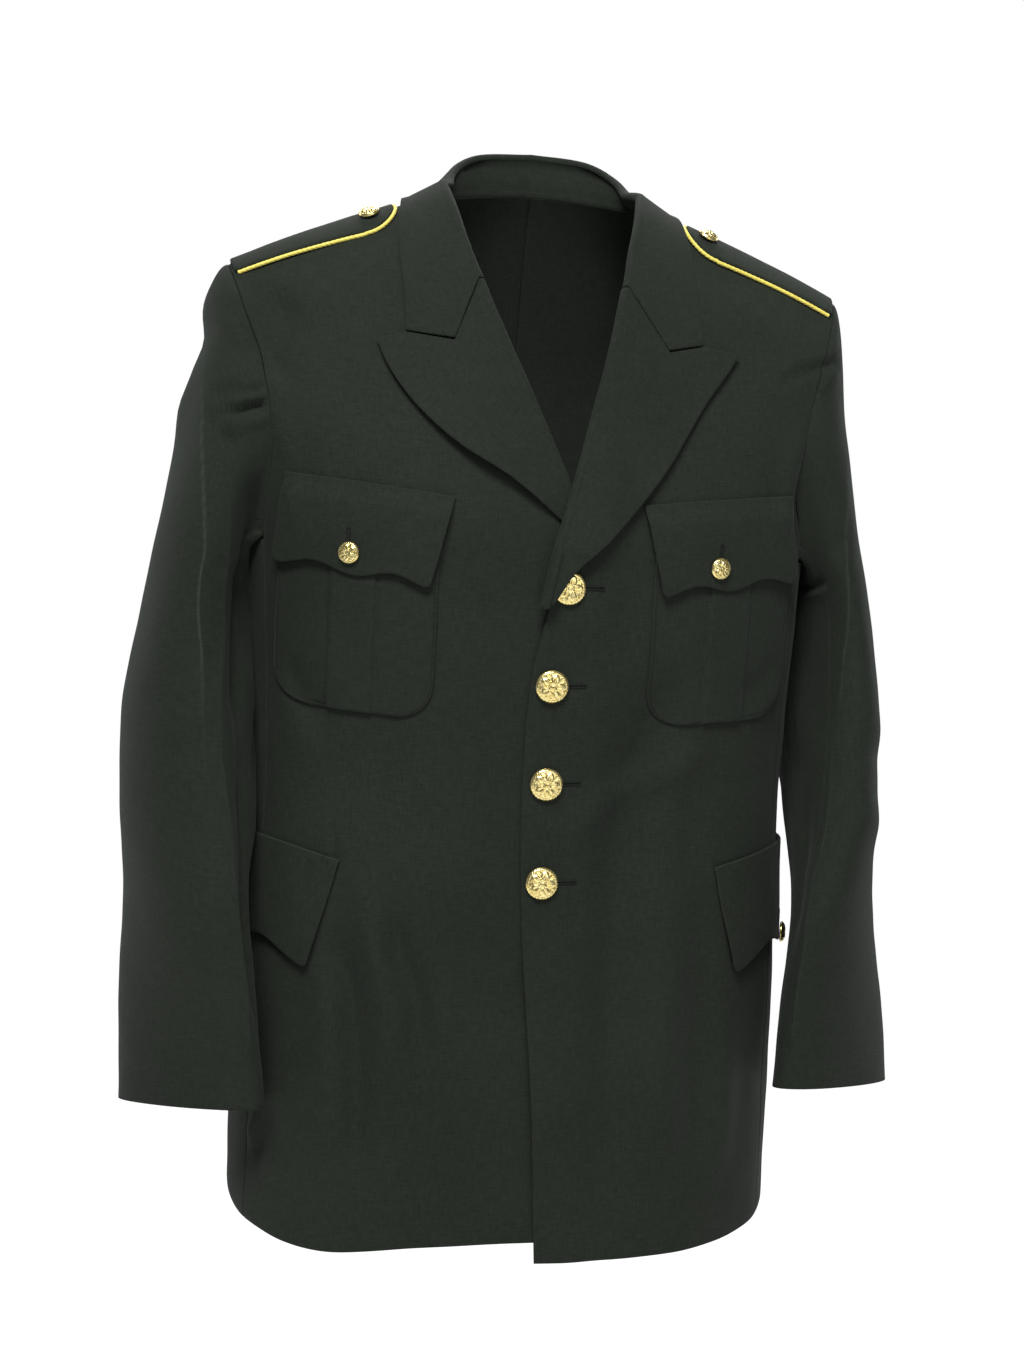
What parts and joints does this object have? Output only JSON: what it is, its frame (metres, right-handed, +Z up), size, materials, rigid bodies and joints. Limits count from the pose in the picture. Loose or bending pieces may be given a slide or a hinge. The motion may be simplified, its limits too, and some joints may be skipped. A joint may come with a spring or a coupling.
{
  "type": "dress uniform jacket",
  "caption": "Button-front dress jacket in its worn shape, open at neck, hem and cuffs, with peaked lapels, shoulder straps, breast pockets and scalloped pocket flaps.",
  "frame": {"origin": "middle of the neck opening, level with the neck ends of the shoulder seams, where the wearer's neck and shoulders hold the jacket", "axes": "+Z up along the wearer's height, -Y the way the wearer faces, +X to the wearer's left"},
  "size_m": [0.6099, 0.2647, 0.8301],
  "materials": {
    "uniform_cloth": "matte fine twill",
    "gold_piping": "satin cord",
    "gilt_button": "polished gilt with raised relief"
  },
  "bodies": {
    "root": {"back_L": "uniform_cloth", "back_R": "uniform_cloth", "breast_button_L": "gilt_button", "breast_button_R": "gilt_button", "breast_flap_L": "uniform_cloth", "breast_flap_R": "uniform_cloth", "breast_pocket_L": "uniform_cloth", "breast_pocket_R": "uniform_cloth", "collar": "uniform_cloth", "epaulette_L": "uniform_cloth", "epaulette_R": "uniform_cloth", "epaulette_button_L": "gilt_button", "epaulette_button_R": "gilt_button", "front_L": "uniform_cloth", "front_R": "uniform_cloth", "front_button_1": "gilt_button", "front_button_2": "gilt_button", "front_button_3": "gilt_button", "front_button_4": "gilt_button", "lapel_L": "uniform_cloth", "lapel_R": "uniform_cloth", "lower_button_L": "gilt_button", "lower_button_R": "gilt_button", "lower_flap_L": "uniform_cloth", "lower_flap_R": "uniform_cloth", "piping_L": "gold_piping", "piping_R": "gold_piping", "side_L": "uniform_cloth", "side_R": "uniform_cloth", "sleeve_top_L": "uniform_cloth", "sleeve_top_R": "uniform_cloth", "sleeve_under_L": "uniform_cloth", "sleeve_under_R": "uniform_cloth"}
  },
  "joints": []
}
